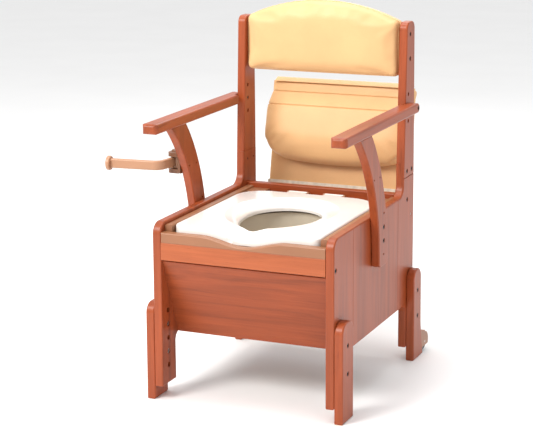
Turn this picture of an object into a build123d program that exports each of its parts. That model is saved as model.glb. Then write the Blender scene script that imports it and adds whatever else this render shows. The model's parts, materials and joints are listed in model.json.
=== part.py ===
"""Wooden commode chair with a two-part folding lid, a lift-up toilet seat and a swivelling paper holder.

Millimetres.  X is to the viewer's right when facing the chair, Y to the back and Z up.  The chair is drawn
about its own centre plane, X = 0, and moved at the end so that the middle of its footprint is the origin.
"""
from build123d import *
from math import atan2, cos, pi, radians, sin
import os

# ---------------------------------------------------------------- side frames
PITCH = 33                      # spacing of every row of adjusting holes
OUTER = 224                     # centre plane to the outer face of a side frame
BOARD = 21                      # thickness of the side frames and posts
INNER = OUTER - BOARD
FRONT, REAR = -210, 342         # front and rear edges of the side frames
FRAME_TOP = 425
PANEL_BOTTOM = 145
LEG_BOTTOM = PITCH              # the legs end one pitch above the floor
FRONT_SEAM = -88                # joint between front stile and side panel
REAR_SEAM = 223                 # joint between side panel and rear stile
FRONT_LEG = 72                  # width of the front leg
REAR_LEG_FRONT = 289
FRONT_CORNER, LEG_FILLET, POST_FILLET = 28, 20, 30
EDGE = 3.5                      # rounding of the wooden edges
SEAM_EDGE = 1.2                 # bevel at the glued seams

# ---------------------------------------------------------------- back posts
POST_FRONT_LOW, POST_FRONT_HIGH = 264, 282
POST_REAR_HIGH = 338
POST_TOP = 850
LAP_BOTTOM, LAP_TOP = 468, 506  # half-lap joint between rear stile and post
LAP_X = OUTER - BOARD / 2
LAP_BOLTS_Y, LAP_BOLT_Z = (288, 323), 484
POST_HOLES = (293, 608)         # lowest of three adjusting holes
POST_HOLE_COUNT = 3

# ---------------------------------------------------------------- leg extensions
EXT_OUTER = OUTER + 21
EXT_TOP = 232
EXT_FRONT, EXT_REAR = (FRONT, -141), (289, 346)
EXT_HEEL, EXT_HEEL_TOP = 363, 85        # the rear extension widens to a heel below this height
LEG_HOLE_Z, LEG_HOLE_COUNT = 78, 5
LEG_HOLE_FRONT_Y, LEG_HOLE_REAR_Y = -177, 318
LEG_BOLT_STEPS = (1, 3)         # which of the five holes carry bolts
LEG_HOLE_RADIUS, POST_HOLE_RADIUS = 6.5, 5

# ---------------------------------------------------------------- rails and panels
RAIL_BOTTOM, RAIL_TOP, RAIL_THICK = 338, 380, 22
FRONT_PANEL_TOP, FRONT_PANEL_SETBACK, FRONT_PANEL_RUN, FRONT_PANEL_THICK = 335, 7, 78, 12
REAR_RAIL_Y, REAR_RAIL_BOTTOM = 281, 385
BACK_PANEL_Y, BACK_PANEL_THICK, BACK_PANEL_BOTTOM = 288, 12, 150
RAIL_BOLT_FRONT, RAIL_BOLT_REAR = (-199, 353), (291, 412)
BATTEN_WIDTH, BATTEN_HEIGHT = 18, 21

# ---------------------------------------------------------------- armrests
ARM_IN, ARM_OUT = 211, 250
ARM_FRONT, ARM_HALF_THICK = -205, 12
ARM_TONGUE_Y = 254              # behind this the armrest is a tongue outside the post
ARM_BOLT = (POST_HOLES[0], POST_HOLES[1] + PITCH)
STRUT_CENTRE, STRUT_RADII = (-365, 333), (395, 452)
STRUT_BOTTOM = 303
STRUT_HOLES = (60, 331)         # lowest of four adjusting holes
STRUT_HOLE_COUNT = 4
STRUT_BOLT_STEPS = (1, 2)
ACCESSORY_Y, ACCESSORY_Z, ACCESSORY_RADIUS = (-8, 30), 521, 2.5

# ---------------------------------------------------------------- backrest
BACKREST_HALF = 201
BACKREST_BOTTOM, BACKREST_SHOULDER, BACKREST_TOP = 712, 852, 898
BACKREST_FRONT, BACKREST_REAR = 271, 297
BACK_BOARD_THICK, BACK_BOARD_MARGIN = 14, 4
BACKREST_BOLTS = (304, (760, 820))

# ---------------------------------------------------------------- seat tray, toilet seat and bucket
TRAY_FLOOR, TRAY_SKIN = 384, 5
TRAY_RIM_TOP, TRAY_RIM_IN = 418, 184
DECK_FRONT, DECK_TOP, DECK_CORNER, DECK_CORNER_TOP = 232, 398, 140, 412
TRIM_TOP, TRIM_DIP, TRIM_DIP_HALF, TRIM_THICK = 403, 17.5, 108, 19.5
BUCKET_Y, BUCKET_MOUTH, BUCKET_BASE = 8, (118, 148), (92, 118)
BUCKET_BOTTOM, BUCKET_WALL, BUCKET_FLANGE = 185, 2.5, 9
HANDLE_Z, HANDLE_RADIUS, HANDLE_ROD = 391, 132, 2.5
SEAT_HALF, SEAT_FRONT, SEAT_REAR = 181, -188, 229
SEAT_UNDER, SEAT_TOP = 400, 420
SEAT_LIP_HALF, SEAT_LIP_BOTTOM, SEAT_LIP_DEEP = 104, 386, 20
VALLEY_RADIUS, VALLEY_TILT, VALLEY_CREST = 160, 26, (-160, 407)
HOLE_Y, HOLE_HALF, HOLE_REAR, HOLE_FRONT, HOLE_TIP = 36, 91, 104, 190, 22
DISH_WIDTH, DISH_CURVE, DISH_STEPS = 42, 2.6, 5
GRIP_X, GRIP_RADIUS, GRIP_DEPTH = -38, 17, 2.5
RING_WIDTH, RING_BOTTOM = 12, 395
HINGE_Y, HINGE_Z, HINGE_RADIUS, HINGE_PIN = 250, 410, 9, 3
LUG = (24, 72)                  # each seat lug spans this distance from the centre plane

# ---------------------------------------------------------------- folding lid, drawn closed
LID_HALF = 192
LID_UNDER = 434                 # underside of the closed lid
LID_BOARD = 9
LID_TOP_REAR, LID_TOP_FRONT = 474, 488
LID_REAR_END, LID_FRONT_END = 328, -205
LID_PIVOT = (320, 369.5)        # hinge of the rear half, in Y and Z
LID_FOLD = (2, LID_UNDER - 4)   # fold between the two halves, in Y and Z
FOLD_GAP = 2                    # each half ends this far from the fold
LID_OPEN = 101.5                # degrees between closed and open
ARM_PLATE = (186, 190)          # the hinge arms, in X
HINGE_BAR_Y = (264, 296)

# ---------------------------------------------------------------- paper holder
HOLDER_X, HOLDER_Y = -266, 11
HOLDER_PLATE_Y, HOLDER_LUG_Y = (-18, 40), (-15, 37)
HOLDER_LOW, HOLDER_HIGH, HOLDER_LUG = 500, 550, 10
HOLDER_BARREL, HOLDER_PIN = 15, 4
BAR_Z, BAR_HEIGHT, BAR_THICK = 526, 23, 12
BAR_BEND, BAR_END = (-279, -60), (-406, -73)
BAR_FLANGE, BAR_FLANGE_THICK = 17.5, 10

# ---------------------------------------------------------------- casters
WHEEL_Y, WHEEL_Z, WHEEL_RADIUS, WHEEL_WIDTH, AXLE = 383, 24.5, 22, 11, 3
FENDER = 26

BOLT_RADIUS, BOLT_HEAD, BOLT_HEAD_THICK = 3, 5.5, 4
RUNNING = 0.05                  # radial clearance of a running fit


# ================================================================ helpers
def outline(*corners):
    """A flat face from (u, v, radius) corners, each rounded by its radius."""
    face = Sketch() + make_face(Polyline(*[(u, v) for u, v, _ in corners], close=True))
    for u, v, radius in corners:
        if radius:
            face = fillet(face.vertices().sort_by_distance((u, v))[0], radius)
    return face


def side_board(face, low, high):
    """Extrude a face drawn in Y and Z between two X positions."""
    return extrude(Plane.YZ.offset(low) * face, high - low)


def front_board(face, near, far):
    """Extrude a face drawn in X and Z between two Y positions."""
    return extrude(Plane.XZ.offset(-near) * face, near - far)


def block(x, y, z):
    """A box between (low, high) pairs."""
    return Pos((x[0] + x[1]) / 2, (y[0] + y[1]) / 2, (z[0] + z[1]) / 2) * Box(
        x[1] - x[0], y[1] - y[0], z[1] - z[0])


def rod_x(radius, low, high, y, z):
    """A cylinder along X."""
    return Pos((low + high) / 2, y, z) * Rot(0, 90, 0) * Cylinder(radius, high - low)


def rod_z(radius, low, high, x, y):
    """A cylinder along Z."""
    return Pos(x, y, (low + high) / 2) * Cylinder(radius, high - low)


def both(right):
    """The right-hand solids with their mirror images."""
    return [right, mirror(right, Plane.YZ)]


def soften(board, radius, low, high, skip=()):
    """Round the outline edges of a side board on its two flat faces, except at the skipped Y positions."""
    edges = [edge for edge in board.edges()
             if min(abs(edge.center().X - low), abs(edge.center().X - high)) < 0.01
             and abs(edge.bounding_box().size.X) < 0.01
             and not any(abs(edge.center().Y - y) < 0.01 and edge.bounding_box().size.Y < 0.01
                         for y in skip)]
    return fillet(edges, radius)


def holes_x(y, z_list, radius, low, high):
    """Cylinders to cut a column of holes."""
    return [rod_x(radius, low - 1, high + 1, y, z) for z in z_list]


def bolt(face, tip, y, z, sunk=BOLT_HEAD_THICK + 1):
    """A bolt along X, its head sunk below the outer face, with its tip nearer the centre plane."""
    head = rod_x(BOLT_HEAD, face - sunk, face - sunk + BOLT_HEAD_THICK, y, z)
    socket = rod_x(BOLT_HEAD * 0.5, face - sunk + BOLT_HEAD_THICK * 0.4, face, y, z)
    return head + rod_x(BOLT_RADIUS, tip, face - sunk, y, z) - socket


def bolt_hole(face, tip, y, z, sunk=BOLT_HEAD_THICK + 1):
    """The stepped hole that a sunk bolt needs."""
    return [rod_x(BOLT_HEAD + 0.5, face - sunk, face + 1, y, z),
            rod_x(BOLT_RADIUS + 0.1, tip - 1, face, y, z)]


def steps(start, count):
    return [start + PITCH * i for i in range(count)]


# ================================================================ side frames
LEG_HOLES = steps(LEG_HOLE_Z, LEG_HOLE_COUNT)


def seam_bevels(board, y, bottom):
    """Cut a small bevel along a vertical seam on both faces."""
    for x in (INNER, OUTER):
        groove = Rot(0, 0, 45) * Box(SEAM_EDGE, SEAM_EDGE, 600)
        board -= Pos(x, y, bottom + 300) * groove
    return board


def front_stile():
    leg = FRONT + FRONT_LEG
    face = outline((FRONT, LEG_BOTTOM, 0), (leg, LEG_BOTTOM, 0), (leg, PANEL_BOTTOM, LEG_FILLET),
                   (FRONT_SEAM, PANEL_BOTTOM, 0), (FRONT_SEAM, FRAME_TOP, 0),
                   (FRONT, FRAME_TOP, FRONT_CORNER))
    board = soften(side_board(face, INNER, OUTER), EDGE, INNER, OUTER, skip=(FRONT_SEAM,))
    board -= holes_x(LEG_HOLE_FRONT_Y, LEG_HOLES, LEG_HOLE_RADIUS, INNER, OUTER)
    board -= bolt_hole(OUTER, INNER, *RAIL_BOLT_FRONT)
    return seam_bevels(board, FRONT_SEAM, PANEL_BOTTOM)


def side_panel():
    face = outline((FRONT_SEAM, PANEL_BOTTOM, 0), (REAR_SEAM, PANEL_BOTTOM, 0),
                   (REAR_SEAM, FRAME_TOP, 0), (FRONT_SEAM, FRAME_TOP, 0))
    board = soften(side_board(face, INNER, OUTER), EDGE, INNER, OUTER, skip=(FRONT_SEAM, REAR_SEAM))
    board -= [rod_x(LEG_HOLE_RADIUS, OUTER - 15, OUTER + 1, STRUT_HOLES[0], strut_bolt_z(i))
              for i in STRUT_BOLT_STEPS]
    return seam_bevels(seam_bevels(board, FRONT_SEAM, PANEL_BOTTOM), REAR_SEAM, PANEL_BOTTOM)


def rear_stile():
    face = outline((REAR_SEAM, PANEL_BOTTOM, 0), (REAR_LEG_FRONT, PANEL_BOTTOM, LEG_FILLET),
                   (REAR_LEG_FRONT, LEG_BOTTOM, 0), (REAR, LEG_BOTTOM, 0), (REAR, LAP_TOP, 0),
                   (POST_FRONT_LOW, LAP_TOP, 0), (POST_FRONT_LOW, FRAME_TOP, POST_FILLET),
                   (REAR_SEAM, FRAME_TOP, 0))
    board = soften(side_board(face, INNER, OUTER), EDGE, INNER, OUTER, skip=(REAR_SEAM,))
    board -= block((LAP_X, OUTER + 1), (POST_FRONT_LOW - 50, REAR + 1), (LAP_BOTTOM, LAP_TOP + 1))
    board -= holes_x(LEG_HOLE_REAR_Y, LEG_HOLES, LEG_HOLE_RADIUS, INNER, OUTER)
    board -= [rod_x(BOLT_RADIUS + 0.1, INNER - 1, OUTER, y, LAP_BOLT_Z) for y in LAP_BOLTS_Y]
    board -= bolt_hole(OUTER, INNER, *RAIL_BOLT_REAR)
    board -= rod_x(4.05, INNER - 1, OUTER + 1, *LID_PIVOT)
    return seam_bevels(board, REAR_SEAM, PANEL_BOTTOM)


def back_post():
    face = outline((POST_FRONT_LOW, LAP_BOTTOM, 0), (REAR, LAP_BOTTOM, 0), (POST_REAR_HIGH, POST_TOP, 18),
                   (POST_FRONT_HIGH, POST_TOP, 18))
    post = soften(side_board(face, INNER, OUTER), EDGE, INNER, OUTER)
    post -= block((INNER - 1, LAP_X), (POST_FRONT_LOW - 50, REAR + 1), (LAP_BOTTOM - 1, LAP_TOP))
    post -= holes_x(POST_HOLES[0], steps(POST_HOLES[1], POST_HOLE_COUNT), POST_HOLE_RADIUS, INNER, OUTER)
    for y in LAP_BOLTS_Y:
        post -= bolt_hole(OUTER, INNER, y, LAP_BOLT_Z)
    for z in BACKREST_BOLTS[1]:
        post -= bolt_hole(OUTER, INNER, BACKREST_BOLTS[0], z)
    return post


def leg_extension(rear):
    low, high = EXT_REAR if rear else EXT_FRONT
    heel = [(EXT_HEEL, 0, 0), (high, EXT_HEEL_TOP, 40)] if rear else [(high, 0, 0)]
    face = outline((low, 0, 0), *heel, (high, EXT_TOP, 26), (low, EXT_TOP, 26))
    board = soften(side_board(face, OUTER, EXT_OUTER), EDGE, OUTER, EXT_OUTER)
    y = LEG_HOLE_REAR_Y if rear else LEG_HOLE_FRONT_Y
    for i in LEG_BOLT_STEPS:
        board -= bolt_hole(EXT_OUTER, OUTER, y, LEG_HOLES[i])
    return board


# ================================================================ rails and panels
def rail(y, thick, bottom, top, half=INNER):
    bar = block((-half, half), (y, y + thick), (bottom, top))
    return fillet(bar.edges().filter_by(Axis.X), 2)


def front_panel():
    y, run = FRONT + FRONT_PANEL_SETBACK, FRONT_PANEL_RUN
    face = outline((y, FRONT_PANEL_TOP, 2), (y + run, PANEL_BOTTOM, 2),
                   (y + run + FRONT_PANEL_THICK, PANEL_BOTTOM, 2),
                   (y + FRONT_PANEL_THICK, FRONT_PANEL_TOP, 2))
    return side_board(face, -INNER, INNER)


def tray_batten():
    """A strip on the inside of a side panel that carries the tray."""
    top = TRAY_FLOOR - TRAY_SKIN
    return block((INNER - BATTEN_WIDTH, INNER), (FRONT + RAIL_THICK, BACK_PANEL_Y),
                 (top - BATTEN_HEIGHT, top))


def front_trim():
    """A strip on the front rail whose top dips in the middle, where the seat's front lip hangs over."""
    strip = front_board(wave_face(INNER, RAIL_TOP, TRIM_TOP, TRIM_DIP, TRIM_DIP_HALF),
                        FRONT, FRONT + TRIM_THICK)
    return fillet(strip.faces().sort_by(Axis.Y)[0].edges().sort_by(Axis.Z)[-3:], 3)


# ================================================================ armrests
def strut_bolt_z(step):
    return STRUT_HOLES[1] + PITCH * step


def armrest():
    end, z = ARM_BOLT[0] + ARM_HALF_THICK, ARM_BOLT[1]
    low, high = z - ARM_HALF_THICK, z + ARM_HALF_THICK
    arm = side_board(outline((ARM_FRONT, low, 6), (end, low, 11.5), (end, high, 11.5), (ARM_FRONT, high, 8)),
                     ARM_IN, ARM_OUT)
    arm = soften(arm, 5, ARM_IN, ARM_OUT)
    plan = outline((ARM_IN, ARM_FRONT, 12), (ARM_OUT, ARM_FRONT, 12),
                   (ARM_OUT, end + 1, 0), (ARM_IN, end + 1, 0))
    arm &= extrude(Pos(0, 0, low - 1) * plan, 2 * ARM_HALF_THICK + 2)
    arm -= block((ARM_IN - 1, OUTER + 0.3), (ARM_TONGUE_Y, end + 1), (low - 1, high + 1))
    return arm - bolt_hole(ARM_OUT, OUTER, *ARM_BOLT)


def armrest_strut():
    (cy, cz), (inner, outer) = STRUT_CENTRE, STRUT_RADII
    under = ARM_BOLT[1] - ARM_HALF_THICK
    ring = Pos(cy, cz) * (Circle(outer) - Circle(inner))
    curve = ring & (Pos(cy + 300, (cz + under) / 2) * Rectangle(600, under - cz))
    foot = outline((cy + inner, STRUT_BOTTOM, 14), (cy + outer, STRUT_BOTTOM, 14), (cy + outer, cz, 0),
                   (cy + inner, cz, 0))
    strut = soften(side_board(curve + foot, OUTER, EXT_OUTER), 3, OUTER, EXT_OUTER)
    strut -= holes_x(STRUT_HOLES[0], steps(STRUT_HOLES[1], STRUT_HOLE_COUNT), 3.2, OUTER, EXT_OUTER)
    for i in STRUT_BOLT_STEPS:
        strut -= bolt_hole(EXT_OUTER, OUTER, STRUT_HOLES[0], strut_bolt_z(i))
    return strut - [rod_x(ACCESSORY_RADIUS, OUTER - 1, EXT_OUTER + 1, y, ACCESSORY_Z) for y in ACCESSORY_Y]


# ================================================================ backrest
def arch(half, low, shoulder, top):
    """A board outline in X and Z with an arched top."""
    sides = Polyline((half, shoulder), (half, low), (-half, low), (-half, shoulder))
    face = Sketch() + make_face(sides + ThreePointArc((-half, shoulder), (0, top), (half, shoulder)))
    corners = face.vertices().sort_by(Axis.Y)
    return fillet(corners, 16)


def backrest_board():
    """The board between the posts; its sides meet them."""
    inset = BACK_BOARD_MARGIN
    face = arch(INNER, BACKREST_BOTTOM + inset, BACKREST_SHOULDER - inset, BACKREST_TOP - inset)
    board = front_board(face, BACKREST_REAR, BACKREST_REAR + BACK_BOARD_THICK)
    for z in BACKREST_BOLTS[1]:
        for side in (-1, 1):
            ends = sorted((side * (INNER - 40), side * (INNER + 1)))
            board -= rod_x(BOLT_RADIUS + 0.05, *ends, BACKREST_BOLTS[0], z)
    return board


def backrest_cushion():
    face = arch(BACKREST_HALF, BACKREST_BOTTOM, BACKREST_SHOULDER, BACKREST_TOP)
    pad = front_board(face, BACKREST_FRONT, BACKREST_REAR)
    return fillet(pad.faces().sort_by(Axis.Y)[0].edges(), 11)


# ================================================================ seat tray
def wave(x, top, dip, half):
    """A smooth dip in a level edge."""
    return top - (dip * (1 + cos(pi * x / half)) / 2 if abs(x) < half else 0)


def wave_face(half, bottom, top, dip, dip_half):
    """A strip in X and Z whose top edge dips in the middle."""
    xs = [dip_half * (i / 6 - 1) for i in range(13)]
    curve = Spline([(x, wave(x, top, dip, dip_half)) for x in xs], tangents=[(1, 0), (1, 0)])
    rest = Polyline((dip_half, top), (half, top), (half, bottom),
                    (-half, bottom), (-half, top), (-dip_half, top))
    return make_face(curve + rest)


def seat_tray():
    """A plate with a hole for the bucket, raised side rims and a deck with the seat's hinge ears."""
    low, front, rear = TRAY_FLOOR - TRAY_SKIN, FRONT + RAIL_THICK, REAR_RAIL_Y
    half = INNER - 0.5
    tray = block((-half, half), (front, rear), (low, TRAY_FLOOR))
    tray -= extrude(Pos(0, BUCKET_Y, low - 1) * Ellipse(BUCKET_MOUTH[0] + 0.8, BUCKET_MOUTH[1] + 0.8), 20)
    tray += block((-half, half), (DECK_FRONT, rear), (low, DECK_TOP))
    for side in (-1, 1):
        rim = block(sorted((side * TRAY_RIM_IN, side * half)), (front, rear), (low, TRAY_RIM_TOP))
        tray += fillet(rim.faces().sort_by(Axis.Z)[-1].edges().filter_by(Axis.Y), 4)
        corner = sorted((side * DECK_CORNER, side * half))
        tray += block(corner, (DECK_FRONT + 2, rear), (low, DECK_CORNER_TOP))
        for x in (LUG[0] - 5, LUG[1] + 0.5):
            web = side_board(Pos(HINGE_Y, HINGE_Z) * Circle(HINGE_RADIUS)
                             + Pos(HINGE_Y, (DECK_TOP + HINGE_Z) / 2) * Rectangle(
                                 2 * HINGE_RADIUS, HINGE_Z - DECK_TOP + 0.4),
                             *sorted((side * x, side * (x + 4.5))))
            tray += web
    return tray - rod_x(HINGE_PIN + 0.02, -100, 100, HINGE_Y, HINGE_Z)


# ================================================================ toilet seat
def egg(grow):
    """The opening's outline: a half-round back, and two arcs that meet in a rounded point at the front."""
    wide, back, front = HOLE_HALF + grow, HOLE_REAR + grow, HOLE_FRONT + grow / 4
    radius = (wide ** 2 + front ** 2) / (2 * wide)
    half_turn = atan2(front, radius - wide) / 2
    middle = (wide - radius + radius * cos(half_turn), -radius * sin(half_turn))
    curve = EllipticalCenterArc((0, 0), wide, back, start_angle=0, arc_size=180)
    curve += ThreePointArc((-wide, 0), (-middle[0], middle[1]), (0, -front))
    curve += ThreePointArc((0, -front), middle, (wide, 0))
    face = Sketch() + make_face(curve)
    return Pos(0, HOLE_Y) * fillet(face.vertices().sort_by(Axis.Y)[0], HOLE_TIP)


def dish():
    """The hollow that runs down from the seat's top to the opening, level where it starts."""
    low, high = RING_BOTTOM + 4, SEAT_TOP + 0.1
    rings = []
    for i in range(DISH_STEPS):
        part = i / (DISH_STEPS - 1)
        rings.append(Pos(0, 0, low + (high - low) * part) * egg(DISH_WIDTH * part ** DISH_CURVE))
    return loft(rings)


def toilet_seat():
    plan = outline((-SEAT_HALF, SEAT_FRONT, 20), (SEAT_HALF, SEAT_FRONT, 20), (SEAT_HALF, SEAT_REAR, 75),
                   (-SEAT_HALF, SEAT_REAR, 75))
    seat = extrude(Pos(0, 0, SEAT_UNDER) * plan, SEAT_TOP - SEAT_UNDER)
    seat = fillet(seat.faces().sort_by(Axis.Z)[-1].edges(), 6)
    seat += block((-SEAT_LIP_HALF, SEAT_LIP_HALF), (SEAT_FRONT, SEAT_FRONT + SEAT_LIP_DEEP),
                  (SEAT_LIP_BOTTOM, SEAT_UNDER + 1))
    seat += extrude(Pos(0, 0, RING_BOTTOM) * egg(RING_WIDTH), SEAT_UNDER + 1 - RING_BOTTOM) & block(
        (-SEAT_HALF, SEAT_HALF), (SEAT_FRONT, SEAT_REAR), (RING_BOTTOM, SEAT_UNDER + 1))
    groove = Pos(0, VALLEY_CREST[0], VALLEY_CREST[1]) * Rot(VALLEY_TILT, 0, 0) * Pos(0, 0, VALLEY_RADIUS) * (
        Rot(90, 0, 0) * Cylinder(VALLEY_RADIUS, 120))
    seat -= groove & block((-SEAT_HALF, SEAT_HALF), (SEAT_FRONT - 60, VALLEY_CREST[0] + 50), (370, 440))
    seat -= dish()
    seat -= extrude(Pos(0, 0, RING_BOTTOM - 20) * egg(0), 50)
    grip_z = (SEAT_LIP_BOTTOM + VALLEY_CREST[1]) / 2
    seat -= Pos(GRIP_X, SEAT_FRONT - GRIP_RADIUS + GRIP_DEPTH, grip_z) * Sphere(GRIP_RADIUS)
    for side in (-1, 1):
        ends = sorted((side * LUG[0], side * LUG[1]))
        seat += block(ends, (SEAT_REAR - 12, HINGE_Y), (SEAT_UNDER + 2, SEAT_TOP - 2))
        seat += rod_x(HINGE_RADIUS, *ends, HINGE_Y, HINGE_Z)
    return seat - rod_x(HINGE_PIN + RUNNING, -100, 100, HINGE_Y, HINGE_Z)


def seat_buffers():
    places = [(x, y) for x in (-155, 155) for y in (-120, 150)]
    return [rod_z(8, TRAY_FLOOR + 0.3, SEAT_UNDER, x, y) for x, y in places]


def seat_pins():
    return both(rod_x(HINGE_PIN, LUG[0] - 5, LUG[1] + 5, HINGE_Y, HINGE_Z))


# ================================================================ bucket
def oval_cone(grow, bottom, top):
    """A tapering oval solid that follows the bucket's wall, offset inwards by a negative growth."""
    drop = TRAY_FLOOR - BUCKET_BOTTOM
    rings = []
    for z in (bottom, top):
        part = (z - BUCKET_BOTTOM) / drop
        radii = [base + (mouth - base) * part + grow for base, mouth in zip(BUCKET_BASE, BUCKET_MOUTH)]
        rings.append(Pos(0, BUCKET_Y, z) * Ellipse(*radii))
    return loft(rings)


def bucket():
    pail = oval_cone(0, BUCKET_BOTTOM, TRAY_FLOOR)
    pail += extrude(Pos(0, BUCKET_Y, TRAY_FLOOR) * Ellipse(*[r + BUCKET_FLANGE for r in BUCKET_MOUTH]), 4)
    for side in (-1, 1):
        ear = sorted((side * (HANDLE_RADIUS - 9), side * (HANDLE_RADIUS - HANDLE_ROD - 0.3)))
        pail += block(ear, (BUCKET_Y - 6, BUCKET_Y + 6), (TRAY_FLOOR + 1, HANDLE_Z + 5.5))
    pail -= oval_cone(-BUCKET_WALL, BUCKET_BOTTOM + BUCKET_WALL, TRAY_FLOOR + 20)
    return pail - rod_x(HANDLE_ROD + RUNNING, -150, 150, BUCKET_Y, HANDLE_Z)


def bucket_handle():
    """A half-round rod lying over the front half of the bucket, its ends turned in through the ears."""
    path = CenterArc((0, BUCKET_Y, HANDLE_Z), HANDLE_RADIUS, 180, 180)
    rod = sweep(Plane(origin=path @ 0, z_dir=path % 0) * Circle(HANDLE_ROD), path)
    for side in (-1, 1):
        rod += Pos(side * HANDLE_RADIUS, BUCKET_Y, HANDLE_Z) * Sphere(HANDLE_ROD)
        rod += rod_x(HANDLE_ROD, *sorted((side * HANDLE_RADIUS, side * (HANDLE_RADIUS - 9.5))),
                     BUCKET_Y, HANDLE_Z)
    return rod


# ================================================================ folding lid
def fold_front(shape):
    """Fold the closed lid's front half under its rear half."""
    y, z = LID_FOLD
    return Pos(0, y, z) * Rot(180, 0, 0) * Pos(0, -y, -z) * shape


def swing_open(shape):
    """Turn a piece of the closed lid about its hinge to where it stands open."""
    y, z = LID_PIVOT
    return Pos(0, y, z) * Rot(-LID_OPEN, 0, 0) * Pos(0, -y, -z) * shape


def lid_rear_board():
    return block((4 - LID_HALF, LID_HALF - 4), (LID_FOLD[0] + FOLD_GAP + 3, LID_REAR_END - 3),
                 (LID_UNDER, LID_UNDER + LID_BOARD))


def lid_rear_cushion(board):
    pad = block((-LID_HALF, LID_HALF), (LID_FOLD[0] + FOLD_GAP, LID_REAR_END),
                (LID_UNDER + 0.5, LID_TOP_REAR))
    pad = fillet(pad.edges().filter_by(Axis.Z), 14)
    pad = fillet(pad.faces().sort_by(Axis.Z)[-1].edges(), 13)
    return pad - board


def lid_front_board():
    near, end, side = LID_FOLD[0] - FOLD_GAP - 3, LID_FRONT_END + 8, LID_HALF - 4
    plan = outline((-side, end, 50), (side, end, 50), (side, near, 0), (-side, near, 0))
    return extrude(Pos(0, 0, LID_UNDER) * plan, LID_BOARD)


def lid_front_cushion(board):
    """Full thickness at the front edge, sloping down to the fold."""
    near, end, low, top = LID_FOLD[0] - FOLD_GAP, LID_FRONT_END, LID_UNDER + 0.5, LID_TOP_FRONT
    face = outline((near, low, 0), (near, low + 9.5, 0), (near - 28, LID_UNDER + 19, 14),
                   (near - 62, LID_UNDER + 41, 26), (near - 141, top, 60), (end, top, 28), (end, low, 10))
    pad = side_board(face, -LID_HALF, LID_HALF)
    plan = outline((-LID_HALF, end, 62), (LID_HALF, end, 62), (LID_HALF, near, 0), (-LID_HALF, near, 0))
    return (pad & extrude(Pos(0, 0, low - 1) * plan, 100)) - board


def lid_hinge_arm():
    """An angled plate from the pivot up to the underside of the rear half."""
    y, z = LID_PIVOT
    leg = Pos(y, (z + LID_UNDER) / 2) * Rectangle(22, LID_UNDER - z)
    foot = Pos((HINGE_BAR_Y[0] + y + 11) / 2, LID_UNDER - 3.25) * Rectangle(y + 11 - HINGE_BAR_Y[0], 6.5)
    arm = side_board(leg + foot + Pos(y, z) * Circle(12), *ARM_PLATE)
    return arm - rod_x(4 + RUNNING, ARM_PLATE[0] - 1, ARM_PLATE[1] + 1, y, z)


def lid_hinge_bar():
    return block((-ARM_PLATE[0], ARM_PLATE[0]), HINGE_BAR_Y, (LID_UNDER - 5, LID_UNDER))


def lid_bar_pads():
    """Rubber pads that meet the rear rail when the lid is down."""
    return [rod_z(5, FRAME_TOP + 0.5, LID_UNDER - 5, x, 289) for x in (-165, 165)]


def fold_leaf(front):
    """One leaf of each fold hinge, with its knuckles."""
    y, z = LID_FOLD
    direction = -1 if front else 1
    spans = [(-7, 7)] if front else [(-20, -7.3), (7.3, 20)]
    skin = (LID_UNDER - 1.5, LID_UNDER)
    leaves = []
    for centre in (-130, 0, 130):
        leaf = block((centre - 20, centre + 20), sorted((y + 5 * direction, y + 28 * direction)), skin)
        for low, high in spans:
            leaf += block((centre + low, centre + high), sorted((y, y + 6 * direction)), skin)
            leaf += rod_x(3, centre + low, centre + high, y, z)
        leaves.append(leaf - rod_x(1.3, centre - 25, centre + 25, y, z))
    return leaves


def fold_pins():
    return [rod_x(1.25, centre - 20, centre + 20, *LID_FOLD) for centre in (-130, 0, 130)]


def fold_pads():
    """Rubber pads that keep the two halves apart when the lid is folded."""
    return [rod_z(9, LID_UNDER - 7.5, LID_UNDER, x, 172) for x in (-150, 150)]


def lid_pivot_pin():
    """A pin pressed into the rear stile, with a head that keeps the hinge arm on."""
    y, z = LID_PIVOT
    return (rod_x(4, ARM_PLATE[0] - 0.5, OUTER - 1, y, z)
            + rod_x(7, ARM_PLATE[0] - 3, ARM_PLATE[0] - 0.5, y, z))


def lid_pivot_collar():
    y, z = LID_PIVOT
    return rod_x(9, ARM_PLATE[1] + 0.5, INNER, y, z) - rod_x(4.05, ARM_PLATE[1] - 1, INNER + 1, y, z)


# ================================================================ paper holder, on the left armrest strut
def paper_bracket():
    face_x, reach = -EXT_OUTER, HOLDER_X - HOLDER_BARREL - 1
    plate = block((face_x - 6, face_x), HOLDER_PLATE_Y, (HOLDER_LOW, HOLDER_HIGH))
    plate = fillet(plate.edges().filter_by(Axis.X), 6)
    for low, high in ((HOLDER_LOW, HOLDER_LOW + HOLDER_LUG), (HOLDER_HIGH - HOLDER_LUG, HOLDER_HIGH)):
        lug = block((reach, face_x - 5), HOLDER_LUG_Y, (low, high))
        plate += fillet(lug.faces().sort_by(Axis.X)[0].edges().filter_by(Axis.Z), 14)
    plate -= rod_z(HOLDER_PIN + 0.02, HOLDER_LOW - 1, HOLDER_HIGH + 1, HOLDER_X, HOLDER_Y)
    for y in ACCESSORY_Y:
        plate -= rod_x(ACCESSORY_RADIUS + 0.1, face_x - 10, face_x + 1, y, ACCESSORY_Z)
    return plate


def paper_screws():
    face_x = -EXT_OUTER
    return [rod_x(4.5, face_x - 8.5, face_x - 6, y, ACCESSORY_Z)
            + rod_x(ACCESSORY_RADIUS - 0.1, face_x - 6, face_x + 14, y, ACCESSORY_Z) for y in ACCESSORY_Y]


def paper_pin():
    pin = rod_z(HOLDER_PIN, HOLDER_LOW, HOLDER_HIGH, HOLDER_X, HOLDER_Y)
    cap = rod_z(13, HOLDER_HIGH, HOLDER_HIGH + 4, HOLDER_X, HOLDER_Y)
    return pin + fillet(cap.edges().sort_by(Axis.Z)[-1], 3)


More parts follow.
